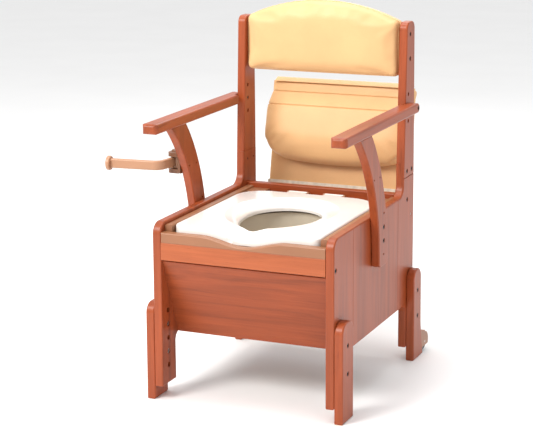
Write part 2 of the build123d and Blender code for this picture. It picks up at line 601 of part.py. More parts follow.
def paper_arm():
    """A flat bar that leaves the barrel forwards, turns outwards and ends in a round flange."""
    path = FilletPolyline((HOLDER_X, HOLDER_Y), BAR_BEND, BAR_END, radius=22)
    bar = extrude(Pos(0, 0, BAR_Z - BAR_HEIGHT / 2) * trace(path, BAR_THICK), BAR_HEIGHT)
    bar = fillet(bar.faces().sort_by(Axis.Z)[-1].edges() + bar.faces().sort_by(Axis.Z)[0].edges(), 4)
    along = Vector(BAR_END[0] - BAR_BEND[0], BAR_END[1] - BAR_BEND[1], 0).normalized()
    flange = Plane(origin=(*BAR_END, BAR_Z), z_dir=along) * Cylinder(BAR_FLANGE, BAR_FLANGE_THICK)
    arm = bar + fillet(flange.edges().filter_by(GeomType.CIRCLE), 3)
    arm += rod_z(HOLDER_BARREL, HOLDER_LOW + HOLDER_LUG + 0.3, HOLDER_HIGH - HOLDER_LUG - 0.3,
                 HOLDER_X, HOLDER_Y)
    return arm - rod_z(HOLDER_PIN + RUNNING, HOLDER_LOW, HOLDER_HIGH, HOLDER_X, HOLDER_Y)


# ================================================================ casters, behind the rear extensions
CASTER_X = (OUTER + EXT_OUTER) / 2


def caster_bracket(extension):
    """A hood over the wheel, fixed to the back of the rear extension."""
    cheek = WHEEL_WIDTH / 2 + 0.8
    hood = Pos(WHEEL_Y, WHEEL_Z) * Circle(FENDER) + Pos(WHEEL_Y - 22, WHEEL_Z + 13) * Rectangle(44, 34)
    hood -= Pos(WHEEL_Y, WHEEL_Z - 30) * Rectangle(160, 40)
    shell = side_board(hood, CASTER_X - cheek - 3.2, CASTER_X + cheek + 3.2)
    gap = Pos(WHEEL_Y, WHEEL_Z) * Circle(WHEEL_RADIUS + 1.2) + Pos(WHEEL_Y, WHEEL_Z - 20) * Rectangle(
        2 * WHEEL_RADIUS + 2.4, 40)
    shell -= side_board(gap, CASTER_X - cheek, CASTER_X + cheek)
    shell -= rod_x(AXLE + 0.02, CASTER_X - 20, CASTER_X + 20, WHEEL_Y, WHEEL_Z)
    return shell - extension


def caster_axle():
    return rod_x(AXLE, CASTER_X - 9.5, CASTER_X + 9.5, WHEEL_Y, WHEEL_Z)


def caster_wheel():
    """A solid wheel with a shallow dish in each face."""
    half = WHEEL_WIDTH / 2
    wheel = rod_x(WHEEL_RADIUS, CASTER_X - half, CASTER_X + half, WHEEL_Y, WHEEL_Z)
    wheel = fillet(wheel.edges().filter_by(GeomType.CIRCLE), 2)
    for low in (CASTER_X - half - 1, CASTER_X + half - 2.5):
        wheel -= rod_x(16, low, low + 3.5, WHEEL_Y, WHEEL_Z) - rod_x(8, low, low + 3.5, WHEEL_Y, WHEEL_Z)
    return wheel - rod_x(AXLE + RUNNING, CASTER_X - 20, CASTER_X + 20, WHEEL_Y, WHEEL_Z)


# ================================================================ assembly
def insert(y, z, low, high, radius):
    """A threaded sleeve in an adjusting hole."""
    return rod_x(radius - 0.02, low, high, y, z) - rod_x(BOLT_RADIUS + 0.02, low - 1, high + 1, y, z)


def leg_bolt_places():
    return [(y, LEG_HOLES[i]) for y in (LEG_HOLE_FRONT_Y, LEG_HOLE_REAR_Y) for i in LEG_BOLT_STEPS]


def paired(name, solid):
    """A right-hand node and its mirror image."""
    return {f"{name}_right": [solid], f"{name}_left": [mirror(solid, Plane.YZ)]}


def rail_bolt_holes(place):
    return both(rod_x(BOLT_RADIUS + 0.05, INNER - 35, INNER + 1, *place))


def fixed_nodes():
    rear_extension = leg_extension(rear=True)
    return {
        **paired("front_stile", front_stile()),
        **paired("side_panel", side_panel()),
        **paired("rear_stile", rear_stile()),
        **paired("back_post", back_post()),
        **paired("leg_extension_front", leg_extension(rear=False)),
        **paired("leg_extension_rear", rear_extension),
        **paired("armrest", armrest()),
        "armrest_strut_right": [armrest_strut()],
        "armrest_strut_with_holder": [mirror(armrest_strut(), Plane.YZ)],
        "caster_brackets": both(caster_bracket(rear_extension)),
        "caster_axles": both(caster_axle()),
        "front_rail": [rail(FRONT, RAIL_THICK, RAIL_BOTTOM, RAIL_TOP) - rail_bolt_holes(RAIL_BOLT_FRONT)],
        "front_trim": [front_trim()],
        "front_panel": [front_panel()],
        "rear_rail": [rail(REAR_RAIL_Y, RAIL_THICK, REAR_RAIL_BOTTOM, FRAME_TOP)
                      - rail_bolt_holes(RAIL_BOLT_REAR)],
        "back_panel": [rail(BACK_PANEL_Y, BACK_PANEL_THICK, BACK_PANEL_BOTTOM, REAR_RAIL_BOTTOM)],
        "tray_battens": both(tray_batten()),
        "backrest_board": [backrest_board()],
        "backrest_cushion": [backrest_cushion()],
        "seat_tray": [seat_tray()],
        "bucket": [bucket()],
        "paper_bracket": [paper_bracket()],
        "paper_screws": paper_screws(),
        "paper_pin": [paper_pin()],
        "seat_hinge_pins": seat_pins(),
        "lid_pivot_pins": both(lid_pivot_pin()),
        "lid_pivot_collars": both(lid_pivot_collar()),
        **fasteners(),
    }


def fasteners():
    sleeve = (INNER + 2, OUTER - 0.5)
    groups = {
        "leg_bolts": [bolt(EXT_OUTER, INNER + 3, y, z) for y, z in leg_bolt_places()],
        "threaded_inserts": [insert(y, z, *sleeve, LEG_HOLE_RADIUS) for y, z in leg_bolt_places()]
        + [insert(*ARM_BOLT, *sleeve, POST_HOLE_RADIUS)]
        + [insert(STRUT_HOLES[0], strut_bolt_z(i), OUTER - 15, OUTER - 0.5, LEG_HOLE_RADIUS)
           for i in STRUT_BOLT_STEPS],
        "post_bolts": [bolt(OUTER, INNER + 1, y, LAP_BOLT_Z) for y in LAP_BOLTS_Y],
        "backrest_bolts": [bolt(OUTER, INNER - 35, BACKREST_BOLTS[0], z) for z in BACKREST_BOLTS[1]],
        "rail_bolts": [bolt(OUTER, INNER - 30, *place) for place in (RAIL_BOLT_FRONT, RAIL_BOLT_REAR)],
        "armrest_bolts": [bolt(ARM_OUT, INNER + 3, *ARM_BOLT)],
        "strut_bolts": [bolt(EXT_OUTER, OUTER - 14, STRUT_HOLES[0], strut_bolt_z(i))
                        for i in STRUT_BOLT_STEPS],
    }
    return {name: right + [mirror(solid, Plane.YZ) for solid in right] for name, right in groups.items()}


def moving_nodes():
    rear_board, front_board_solid = lid_rear_board(), lid_front_board()
    rear = {
        "lid_rear_board": [rear_board],
        "lid_rear_cushion": [lid_rear_cushion(rear_board)],
        "lid_hinge_arms": both(lid_hinge_arm()),
        "lid_hinge_bar": [lid_hinge_bar()],
        "lid_bar_pads": lid_bar_pads(),
        "fold_leaves_rear": fold_leaf(front=False),
        "fold_pins": fold_pins(),
        "fold_pads": fold_pads(),
    }
    front = {
        "lid_front_board": [front_board_solid],
        "lid_front_cushion": [lid_front_cushion(front_board_solid)],
        "fold_leaves_front": fold_leaf(front=True),
    }
    nodes = {name: [swing_open(solid) for solid in solids] for name, solids in rear.items()}
    nodes.update({name: [swing_open(fold_front(solid)) for solid in solids]
                  for name, solids in front.items()})
    nodes.update({
        "toilet_seat": [toilet_seat()],
        "seat_buffers": seat_buffers(),
        "bucket_handle": [bucket_handle()],
        "paper_arm": [paper_arm()],
        **paired("caster_wheel", caster_wheel()),
    })
    return nodes


def opened(point):
    """Where a Y, Z point of the closed lid lies when the lid stands open."""
    y, z = point[0] - LID_PIVOT[0], point[1] - LID_PIVOT[1]
    turn = radians(LID_OPEN)
    return LID_PIVOT[0] + y * cos(turn) + z * sin(turn), LID_PIVOT[1] - y * sin(turn) + z * cos(turn)


def joint_points():
    """A point on each joint's axis, in the chair's own coordinates."""
    return {
        "lid_hinge": (0, *LID_PIVOT),
        "lid_fold": (0, *opened(LID_FOLD)),
        "toilet_seat_hinge": (0, HINGE_Y, HINGE_Z),
        "bucket_handle_swing": (0, BUCKET_Y, HANDLE_Z),
        "paper_holder_swivel": (HOLDER_X, HOLDER_Y, BAR_Z),
        "caster_right_spin": (CASTER_X, WHEEL_Y, WHEEL_Z),
        "caster_left_spin": (-CASTER_X, WHEEL_Y, WHEEL_Z),
    }


def main():
    nodes = {**fixed_nodes(), **moving_nodes()}
    whole = Compound(children=[copy for solids in nodes.values() for solid in solids
                               for copy in solid.solids()])
    box = whole.bounding_box()
    shift = Vector(-(box.min.X + box.max.X) / 2, -(box.min.Y + box.max.Y) / 2, -box.min.Z)
    os.makedirs("parts", exist_ok=True)
    for name, solids in nodes.items():
        pieces = [piece for solid in solids for piece in (Pos(*shift) * solid).solids()]
        export_step(pieces[0] if len(pieces) == 1 else Compound(children=pieces), f"parts/{name}.step")
    print("size", box.size, "shift", shift)
    for joint, point in joint_points().items():
        print(joint, Vector(*point) + shift)


main()
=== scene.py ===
import bmesh
import bpy
import json
from math import cos, pi, radians, sin, tanh
from mathutils import Matrix, Vector


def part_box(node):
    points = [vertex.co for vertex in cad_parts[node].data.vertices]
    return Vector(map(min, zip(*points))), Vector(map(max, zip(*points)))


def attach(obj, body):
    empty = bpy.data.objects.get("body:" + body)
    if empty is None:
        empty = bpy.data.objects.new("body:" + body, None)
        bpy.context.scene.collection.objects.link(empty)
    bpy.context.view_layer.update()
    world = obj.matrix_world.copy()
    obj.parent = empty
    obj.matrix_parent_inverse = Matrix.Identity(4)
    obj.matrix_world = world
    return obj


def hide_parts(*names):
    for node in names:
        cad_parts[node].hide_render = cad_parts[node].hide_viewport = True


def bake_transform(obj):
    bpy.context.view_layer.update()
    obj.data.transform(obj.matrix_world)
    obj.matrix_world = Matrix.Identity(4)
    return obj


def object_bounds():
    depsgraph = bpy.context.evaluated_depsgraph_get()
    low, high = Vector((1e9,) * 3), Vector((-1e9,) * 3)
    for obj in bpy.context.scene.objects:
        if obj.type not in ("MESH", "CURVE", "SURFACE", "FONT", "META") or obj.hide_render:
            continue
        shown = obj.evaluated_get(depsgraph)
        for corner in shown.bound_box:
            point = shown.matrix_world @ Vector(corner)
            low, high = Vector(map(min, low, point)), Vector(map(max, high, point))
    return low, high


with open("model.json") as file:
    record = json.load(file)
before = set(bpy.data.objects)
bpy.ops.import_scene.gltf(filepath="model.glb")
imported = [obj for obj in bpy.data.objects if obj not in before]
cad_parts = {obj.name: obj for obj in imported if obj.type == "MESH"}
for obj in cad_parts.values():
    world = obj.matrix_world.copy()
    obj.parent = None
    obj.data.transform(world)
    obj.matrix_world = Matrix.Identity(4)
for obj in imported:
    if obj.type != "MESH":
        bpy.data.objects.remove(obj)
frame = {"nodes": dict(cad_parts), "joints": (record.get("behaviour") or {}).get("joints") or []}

CAD_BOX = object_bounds()
NODES = frame["nodes"]
JOINTS = {joint["name"]: joint for joint in frame["joints"]}
MM = 0.001

# ---------------------------------------------------------------- the lid's own directions
FOLD = Vector(JOINTS["lid_fold"]["pos_m"])
LEAN = radians(JOINTS["lid_hinge"]["range_deg"][1] - 90)
LID_UP = Vector((0, sin(LEAN), cos(LEAN)))          # from the hinge to the fold, with the lid open
LID_FRONT = Vector((0, -cos(LEAN), sin(LEAN)))      # out of the underside of the open rear half
BACKREST_FRONT = Vector((0, -1, 0))

# ---------------------------------------------------------------- soft pieces
VOXEL = 4.5 * MM
PRESSURE = 4.0
SIM_FRAMES = 20
SEAM_DROPS = (32 * MM, 67 * MM)     # distance of the front half's two seams below the fold
SEAM_DEPTH, SEAM_HALF_WIDTH = 2.6 * MM, 2.2 * MM
PIPING_RADIUS = 1.5 * MM

# ---------------------------------------------------------------- camera and light
CAMERA_AZIMUTH, CAMERA_ELEVATION, CAMERA_ROLL = radians(23.62), radians(10.99), radians(-0.42)
CAMERA_DISTANCE, CAMERA_LENS = 3.912, 115.98
CAMERA_SHIFT = (0.0172, -0.1239)
AMBIENT = 0.85                      # strength of the even white light from all round
CHAIR_MIDDLE_X = sum(corner[0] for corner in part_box("front_rail")) / 2
TARGET = Vector((CHAIR_MIDDLE_X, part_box("front_rail")[0][1] + 0.0954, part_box("armrest_right")[1][2] - 0.0519))


# ================================================================ materials
def new_material(name):
    """A material with a Principled shader: (material, nodes, links, shader)."""
    material = bpy.data.materials.new(name)
    material.use_nodes = True
    tree = material.node_tree
    return material, tree.nodes, tree.links, tree.nodes["Principled BSDF"]


def coordinates(nodes, links, scale, offset=(0, 0, 0)):
    """Object coordinates stretched by a scale per axis."""
    source = nodes.new("ShaderNodeTexCoord")
    mapping = nodes.new("ShaderNodeMapping")
    mapping.inputs["Scale"].default_value = scale
    mapping.inputs["Location"].default_value = offset
    links.new(source.outputs["Object"], mapping.inputs["Vector"])
    return mapping.outputs["Vector"]


def noise(nodes, links, vector, scale, detail=3.0, roughness=0.5, distortion=0.0):
    texture = nodes.new("ShaderNodeTexNoise")
    texture.inputs["Scale"].default_value = scale
    texture.inputs["Detail"].default_value = detail
    texture.inputs["Roughness"].default_value = roughness
    texture.inputs["Distortion"].default_value = distortion
    links.new(vector, texture.inputs["Vector"])
    return texture.outputs["Fac"]


def ramp(nodes, links, value, stops):
    """A colour ramp over (position, colour) stops."""
    node = nodes.new("ShaderNodeValToRGB")
    elements = node.color_ramp.elements
    while len(elements) < len(stops):
        elements.new(0.5)
    for element, (position, colour) in zip(elements, stops):
        element.position = position
        element.color = (*colour, 1)
    links.new(value, node.inputs["Fac"])
    return node.outputs["Color"]


def spread(nodes, links, value, low, high):
    """Map a value from 0..1 to low..high."""
    node = nodes.new("ShaderNodeMapRange")
    node.inputs["To Min"].default_value = low
    node.inputs["To Max"].default_value = high
    links.new(value, node.inputs["Value"])
    return node.outputs["Result"]


def blend_colours(nodes, links, factor, one, two, mode="MULTIPLY"):
    node = nodes.new("ShaderNodeMix")
    node.data_type = "RGBA"
    node.blend_type = mode
    if isinstance(factor, float):
        node.inputs["Factor"].default_value = factor
    else:
        links.new(factor, node.inputs["Factor"])
    links.new(one, node.inputs["A"])
    links.new(two, node.inputs["B"])
    return node.outputs["Result"]


def bump(nodes, links, shader, heights):
    """Chain (height, strength, distance) bumps into the shader's normal."""
    last = None
    for height, strength, distance in heights:
        node = nodes.new("ShaderNodeBump")
        node.inputs["Strength"].default_value = strength
        node.inputs["Distance"].default_value = distance
        links.new(height, node.inputs["Height"])
        if last:
            links.new(last, node.inputs["Normal"])
        last = node.outputs["Normal"]
    links.new(last, shader.inputs["Normal"])


def along(axis, lengthwise, across):
    """A scale that is small along the grain and large across it."""
    return tuple(lengthwise if i == "XYZ".index(axis) else across for i in range(3))


def wood(name, axis, colour, contrast=0.30, roughness=0.34):
    """Varnished wood with broad figure, fine streaks and open pores running along one axis."""
    material, nodes, links, shader = new_material(name)
    figure = noise(nodes, links, coordinates(nodes, links, along(axis, 1.2, 11)), 2.2, 4, 0.55, 1.1)
    streaks = noise(nodes, links, coordinates(nodes, links, along(axis, 3, 150), (3, 1, 2)), 1.6, 5, 0.6, 0.2)
    pores = noise(nodes, links, coordinates(nodes, links, along(axis, 28, 900), (7, 5, 1)), 1.0, 2, 0.5)
    deep = tuple(c * (1 - contrast) for c in colour)
    pale = tuple(min(1, c * (1 + contrast * 0.55)) for c in colour)
    base = ramp(nodes, links, figure, [(0.28, deep), (0.5, colour), (0.72, pale)])
    fine = ramp(nodes, links, streaks, [(0.30, (0.80, 0.74, 0.70)), (0.62, (1, 1, 1))])
    base = blend_colours(nodes, links, 0.75, base, fine)
    specks = ramp(nodes, links, pores, [(0.24, (0.55, 0.42, 0.36)), (0.36, (1, 1, 1))])
    base = blend_colours(nodes, links, 0.8, base, specks)
    links.new(base, shader.inputs["Base Color"])
    links.new(spread(nodes, links, streaks, roughness - 0.06, roughness + 0.12), shader.inputs["Roughness"])
    shader.inputs["Specular IOR Level"].default_value = 0.32
    shader.inputs["Coat Weight"].default_value = 0.10
    shader.inputs["Coat Roughness"].default_value = 0.25
    bump(nodes, links, shader, [(pores, 0.10, 0.0003), (streaks, 0.08, 0.0004)])
    return material


def leather(name, colour):
    """Soft synthetic leather: fine pebbled grain, faint mottling and a low sheen."""
    material, nodes, links, shader = new_material(name)
    space = coordinates(nodes, links, (1, 1, 1))
    mottle = noise(nodes, links, space, 9, 4, 0.55)
    pebble = nodes.new("ShaderNodeTexVoronoi")
    pebble.feature = "DISTANCE_TO_EDGE"
    pebble.inputs["Scale"].default_value = 850
    links.new(space, pebble.inputs["Vector"])
    creases = noise(nodes, links, space, 160, 4, 0.6, 0.4)
    deep = tuple(c * 0.93 for c in colour)
    pale = tuple(min(1, c * 1.05) for c in colour)
    base = ramp(nodes, links, mottle, [(0.3, deep), (0.7, pale)])
    valleys = ramp(nodes, links, pebble.outputs["Distance"], [(0.0, (0.86, 0.80, 0.74)), (0.12, (1, 1, 1))])
    links.new(blend_colours(nodes, links, 0.5, base, valleys), shader.inputs["Base Color"])
    links.new(spread(nodes, links, creases, 0.38, 0.52), shader.inputs["Roughness"])
    shader.inputs["Specular IOR Level"].default_value = 0.35
    shader.inputs["Sheen Weight"].default_value = 0.05
    shader.inputs["Sheen Roughness"].default_value = 0.4
    bump(nodes, links, shader, [(pebble.outputs["Distance"], 0.16, 0.0003), (creases, 0.10, 0.0005)])
    return material


def plastic(name, colour, roughness, grain=0.06, coat=0.0, variation=0.05):
    """Moulded plastic with a fine spark-eroded texture and slight unevenness of colour and gloss."""
    material, nodes, links, shader = new_material(name)
    space = coordinates(nodes, links, (1, 1, 1))
    cloud = noise(nodes, links, space, 14, 3, 0.5)
    texture = noise(nodes, links, space, 1500, 2, 0.5)
    waves = noise(nodes, links, space, 26, 2, 0.4)
    deep = tuple(c * (1 - variation) for c in colour)
    pale = tuple(min(1, c * (1 + variation)) for c in colour)
    links.new(ramp(nodes, links, cloud, [(0.3, deep), (0.7, pale)]), shader.inputs["Base Color"])
    links.new(spread(nodes, links, waves, roughness - 0.04, roughness + 0.06), shader.inputs["Roughness"])
    shader.inputs["Coat Weight"].default_value = coat
    shader.inputs["Coat Roughness"].default_value = 0.12
    bump(nodes, links, shader, [(texture, grain, 0.0002), (waves, 0.03, 0.001)])
    return material


def metal(name, colour, roughness, brushed=1.0, metallic=1.0):
    """Plated or brushed metal with fine scratches."""
    material, nodes, links, shader = new_material(name)
    scratches = noise(nodes, links, coordinates(nodes, links, (12, 400, 400)), 3, 4, 0.6)
    tarnish = noise(nodes, links, coordinates(nodes, links, (1, 1, 1), (4, 4, 4)), 60, 4, 0.6)
    deep = tuple(c * 0.75 for c in colour)
    links.new(ramp(nodes, links, tarnish, [(0.3, deep), (0.65, colour)]), shader.inputs["Base Color"])
    links.new(spread(nodes, links, scratches, roughness - 0.08, roughness + 0.12), shader.inputs["Roughness"])
    shader.inputs["Metallic"].default_value = metallic
    bump(nodes, links, shader, [(scratches, 0.08 * brushed, 0.0002)])
    return material


RED_WOOD = (0.33, 0.066, 0.018)
RAIL_WOOD = (0.42, 0.105, 0.034)
TAN = (0.76, 0.46, 0.215)
MATERIALS = {
    "wood_x": wood("wood_x", "X", RED_WOOD),
    "wood_y": wood("wood_y", "Y", RED_WOOD),
    "wood_z": wood("wood_z", "Z", RED_WOOD),
    "rail": wood("wood_rail", "X", RAIL_WOOD, contrast=0.2),
    "leather": leather("upholstery", TAN),
    "brown": plastic("brown_plastic", (0.31, 0.130, 0.060), 0.34, grain=0.10),
    "white": plastic("white_plastic", (0.86, 0.83, 0.79), 0.20, grain=0.02, coat=0.4, variation=0.015),
    "ivory": plastic("ivory_plastic", (0.60, 0.53, 0.42), 0.36, grain=0.06),
    "tan": plastic("tan_plastic", (0.44, 0.225, 0.125), 0.36, grain=0.12),
    "dark_tan": plastic("dark_tan_plastic", (0.17, 0.070, 0.032), 0.40, grain=0.12),
    "zinc": metal("zinc_steel", (0.62, 0.62, 0.60), 0.34),
    "cream": metal("painted_steel", (0.80, 0.74, 0.60), 0.45, 0.4, 0.0),
    "bolt": metal("dark_steel", (0.055, 0.075, 0.075), 0.40, 0.6, 0.8),
    "rubber": plastic("black_rubber", (0.030, 0.030, 0.032), 0.62, grain=0.20, variation=0.2),
    "tyre": plastic("grey_rubber", (0.16, 0.16, 0.165), 0.58, grain=0.20, variation=0.15),
    "thread": plastic("seam_thread", (0.60, 0.36, 0.16), 0.6, grain=0.2),
}

MATERIAL_OF = {
    "wood_x": ["front_panel", "rear_rail", "back_panel"],
    "wood_y": ["armrest_left", "armrest_right", "tray_battens"],
    "wood_z": ["front_stile_left", "front_stile_right", "side_panel_left", "side_panel_right", "rear_stile_left",
               "rear_stile_right", "back_post_left", "back_post_right", "armrest_strut_with_holder",
               "armrest_strut_right", "leg_extension_front_left", "leg_extension_front_right",
               "leg_extension_rear_left", "leg_extension_rear_right"],
    "rail": ["front_rail"],
    "leather": ["backrest_board", "lid_rear_board", "lid_front_board", "backrest_cushion", "lid_rear_cushion",
                "lid_front_cushion"],
    "brown": ["seat_tray", "front_trim", "caster_brackets"],
    "white": ["toilet_seat"],
    "ivory": ["bucket"],
    "tan": ["paper_arm"],
    "dark_tan": ["paper_bracket", "paper_pin"],
    "zinc": ["threaded_inserts", "paper_screws", "bucket_handle", "seat_hinge_pins", "lid_pivot_pins",
             "lid_pivot_collars", "fold_pins", "fold_leaves_front", "fold_leaves_rear", "caster_axles"],
    "cream": ["lid_hinge_arms", "lid_hinge_bar"],
    "bolt": ["leg_bolts", "post_bolts", "backrest_bolts", "rail_bolts", "armrest_bolts", "strut_bolts"],
    "rubber": ["seat_buffers", "fold_pads", "lid_bar_pads"],
    "tyre": ["caster_wheel_left", "caster_wheel_right"],
}


def dress(obj, material):
    obj.data.materials.clear()
    obj.data.materials.append(material)


for key, names in MATERIAL_OF.items():
    for node_name in names:
        dress(NODES[node_name], MATERIALS[key])


# ================================================================ mesh tools
def new_object(name, mesh):
    obj = bpy.data.objects.new(name, mesh)
    bpy.context.scene.collection.objects.link(obj)
    return obj


def mesh_from(bm, name):
    mesh = bpy.data.meshes.new(name)
    bm.to_mesh(mesh)
    bm.free()
    return mesh


def hull_of(node, name):
    """A closed convex form round a CAD cushion."""
    bm = bmesh.new()
    bm.from_mesh(NODES[node].data)
    result = bmesh.ops.convex_hull(bm, input=bm.verts)
    kept = {g for g in result["geom"] if isinstance(g, bmesh.types.BMFace)}
    bmesh.ops.delete(bm, geom=[f for f in bm.faces if f not in kept], context="FACES_ONLY")
    bmesh.ops.delete(bm, geom=[v for v in bm.verts if not v.link_faces], context="VERTS")
    bmesh.ops.recalc_face_normals(bm, faces=bm.faces)
    return new_object(name, mesh_from(bm, name))


def apply_modifiers(obj):
    """Replace the object's mesh with its evaluated one."""
    depsgraph = bpy.context.evaluated_depsgraph_get()
    mesh = bpy.data.meshes.new_from_object(obj.evaluated_get(depsgraph))
    obj.modifiers.clear()
    old = obj.data
    obj.data = mesh
    bpy.data.meshes.remove(old)


def remesh(obj, voxel):
    modifier = obj.modifiers.new("remesh", "REMESH")
    modifier.mode = "VOXEL"
    modifier.voxel_size = voxel
    smooth = obj.modifiers.new("smooth", "SMOOTH")
    smooth.iterations = 4
    apply_modifiers(obj)


def inflate(obj, normal, backing, start_inset, cap):
    """Blow the cover up like a stuffed pad, with the side that lies on its board held still.

    backing is the height along the normal up to which the cover is tacked to the board."""
    mesh = obj.data
    held = [v.index for v in mesh.vertices if v.co.dot(normal) < backing]
    held_set = set(held)
    for vertex in mesh.vertices:
        if vertex.index not in held_set:
            vertex.co -= vertex.normal * start_inset
    start = [vertex.co.copy() for vertex in mesh.vertices]
    group = obj.vertex_groups.new(name="tacked")
    group.add(held, 1.0, "REPLACE")
    cloth = obj.modifiers.new("cloth", "CLOTH")
    settings = cloth.settings
    settings.quality = 6
    settings.mass = 0.3
    settings.use_pressure = True
    settings.uniform_pressure_force = PRESSURE
    settings.tension_stiffness = settings.compression_stiffness = 15
    settings.bending_stiffness = 0.6
    settings.effector_weights.gravity = 0
    settings.vertex_group_mass = "tacked"
    cloth.collision_settings.use_collision = False
    scene = bpy.context.scene
    cloth.point_cache.frame_start, cloth.point_cache.frame_end = 1, SIM_FRAMES
    for step in range(1, SIM_FRAMES + 1):
        scene.frame_set(step)
    apply_modifiers(obj)
    scene.frame_set(1)
    for vertex, first in zip(obj.data.vertices, start):
        move = vertex.co - first
        if move.length > 0:
            vertex.co = first + move.normalized() * cap * tanh(move.length / cap)
    relax = obj.modifiers.new("relax", "SMOOTH")
    relax.iterations = 12
    finer = obj.modifiers.new("finer", "SUBSURF")
    finer.levels = finer.render_levels = 1
    apply_modifiers(obj)


def press_seam(obj, point, normal, depth, half_width, facing):
    """Sink a sewn seam into the cover where a plane crosses the side that faces a direction."""
    bm = bmesh.new()
    bm.from_mesh(obj.data)
    for shift in (-half_width, -half_width * 0.45, 0, half_width * 0.45, half_width):
        geometry = bm.verts[:] + bm.edges[:] + bm.faces[:]
        bmesh.ops.bisect_plane(bm, geom=geometry, plane_co=point + normal * shift, plane_no=normal, dist=1e-6)
    bm.normal_update()
    for vertex in bm.verts:
        distance = abs((vertex.co - point).dot(normal))
        side = vertex.normal.dot(facing)
        if distance < half_width and side > -0.3:
            fall = (1 + cos(pi * distance / half_width)) / 2
            vertex.co -= vertex.normal * depth * fall * min(1.0, (side + 0.3) / 0.6)
    name = obj.data.name
    old = obj.data
    obj.data = mesh_from(bm, name + "_sewn")
    bpy.data.meshes.remove(old)


def tube(name, points, radius, closed=True, sides=8):
    """A round tube through points, as a mesh."""
    curve = bpy.data.curves.new(name, "CURVE")
    curve.dimensions = "3D"
    curve.bevel_depth = radius
    curve.bevel_resolution = sides // 4
    spline = curve.splines.new("POLY")
    spline.points.add(len(points) - 1)
    for place, point in zip(spline.points, points):
        place.co = (*point, 1)
    spline.use_cyclic_u = closed
    source = new_object(name + "_curve", curve)
    depsgraph = bpy.context.evaluated_depsgraph_get()
    mesh = bpy.data.meshes.new_from_object(source.evaluated_get(depsgraph))
    bpy.data.objects.remove(source)
    bpy.data.curves.remove(curve)
    return new_object(name, mesh)


def outline_at(obj, point, normal):
    """The closed loop where a plane cuts a mesh, as ordered points."""
    bm = bmesh.new()
    bm.from_mesh(obj.data)
    geometry = bm.verts[:] + bm.edges[:] + bm.faces[:]
    cut = bmesh.ops.bisect_plane(bm, geom=geometry, plane_co=point, plane_no=normal, dist=1e-6)["geom_cut"]
    edges = {g for g in cut if isinstance(g, bmesh.types.BMEdge)}
    loops = []
    while edges:
        edge = edges.pop()
        first, here = edge.verts
        points = [first.co.copy(), here.co.copy()]
        while True:
            onward = next((e for e in here.link_edges if e in edges), None)
            if onward is None:
                break
            edges.remove(onward)
            here = onward.other_vert(here)
            points.append(here.co.copy())
        loops.append(points[:-1])
    bm.free()
    return max(loops, key=len)


def piping(obj, name, point, normal, radius):
    """Welt piping that follows the cover's outline in a plane."""
    points = outline_at(obj, point, normal)
    middle = sum(points, Vector()) / len(points)
    kept = points[::2]
    placed = [p + (p - middle - normal * (p - middle).dot(normal)).normalized() * radius * 0.35 for p in kept]
    welt = tube(name, placed, radius)
    return welt


def shade_smooth(obj):
    for polygon in obj.data.polygons:
        polygon.use_smooth = True


def finish_pad(obj, body, replaced):
    shade_smooth(obj)
    dress(obj, MATERIALS["leather"])
    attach(obj, body)
    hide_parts(*replaced)


def finish_trim(obj, body, material):
    shade_smooth(obj)
    dress(obj, MATERIALS[material])
    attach(obj, body)


# ================================================================ upholstery
def lowest_along(node, direction):
    return min(Vector(v.co).dot(direction) for v in NODES[node].data.vertices)


def make_pad(name, node, direction, inset, cap, backing_depth):
    """Remesh and inflate a cushion whose board lies on the side opposite to the direction."""
    pad = hull_of(node, name)
    remesh(pad, VOXEL)
    inflate(pad, direction, lowest_along(node, direction) + backing_depth, inset, cap)
    return pad


def backrest():
    pad = make_pad("backrest_pad", "backrest_cushion", BACKREST_FRONT, 2.5 * MM, 8 * MM, 5 * MM)
    rear = Vector((0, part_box("backrest_cushion")[1][1] - 3.5 * MM, 0))
    welt = piping(pad, "backrest_welt", rear, Vector((0, 1, 0)), PIPING_RADIUS)
    finish_pad(pad, "frame", ["backrest_cushion"])
    finish_trim(welt, "frame", "leather")


def lid_rear_half():
    """The rear half's cover wraps its board, so it stands for both."""
    pad = make_pad("lid_rear_pad", "lid_rear_cushion", -LID_FRONT, 2.0 * MM, 7 * MM, 10 * MM)
    base = lowest_along("lid_rear_cushion", -LID_FRONT)
    welt = piping(pad, "lid_rear_welt", -LID_FRONT * (base + 29 * MM), LID_FRONT, PIPING_RADIUS)
    finish_pad(pad, "lid_rear", ["lid_rear_cushion"])
    finish_trim(welt, "lid_rear", "leather")


def lid_front_half():
    pad = make_pad("lid_front_pad", "lid_front_cushion", LID_FRONT, 2.0 * MM, 7 * MM, 10 * MM)
    bulge(pad, 0.965, 1.012, 90 * MM, 9 * MM)
    for drop in SEAM_DROPS:
        press_seam(pad, FOLD - LID_UP * drop, LID_UP, SEAM_DEPTH, SEAM_HALF_WIDTH, LID_FRONT)
    finish_pad(pad, "lid_front", ["lid_front_cushion"])


def smooth_step(value, start, end):
    return (1 - cos(pi * min(max((value - start) / (end - start), 0), 1))) / 2


def bulge(obj, narrow, wide, reach, bow):
    """Narrow the front half at its fold, widen it towards its free edge and bow that edge outwards."""
    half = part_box("lid_front_cushion")[1][0] - CHAIR_MIDDLE_X
    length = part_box("lid_front_cushion")[1][2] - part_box("lid_front_cushion")[0][2]
    for vertex in obj.data.vertices:
        drop = (FOLD - vertex.co).dot(LID_UP)
        across = (vertex.co.x - CHAIR_MIDDLE_X) / half
        stretch = narrow + (wide - narrow) * smooth_step(drop, 0, reach)
        vertex.co.x = CHAIR_MIDDLE_X + half * across * stretch
        vertex.co -= LID_UP * bow * (1 - 1.7 * across * across) * smooth_step(drop, length * 0.45, length)


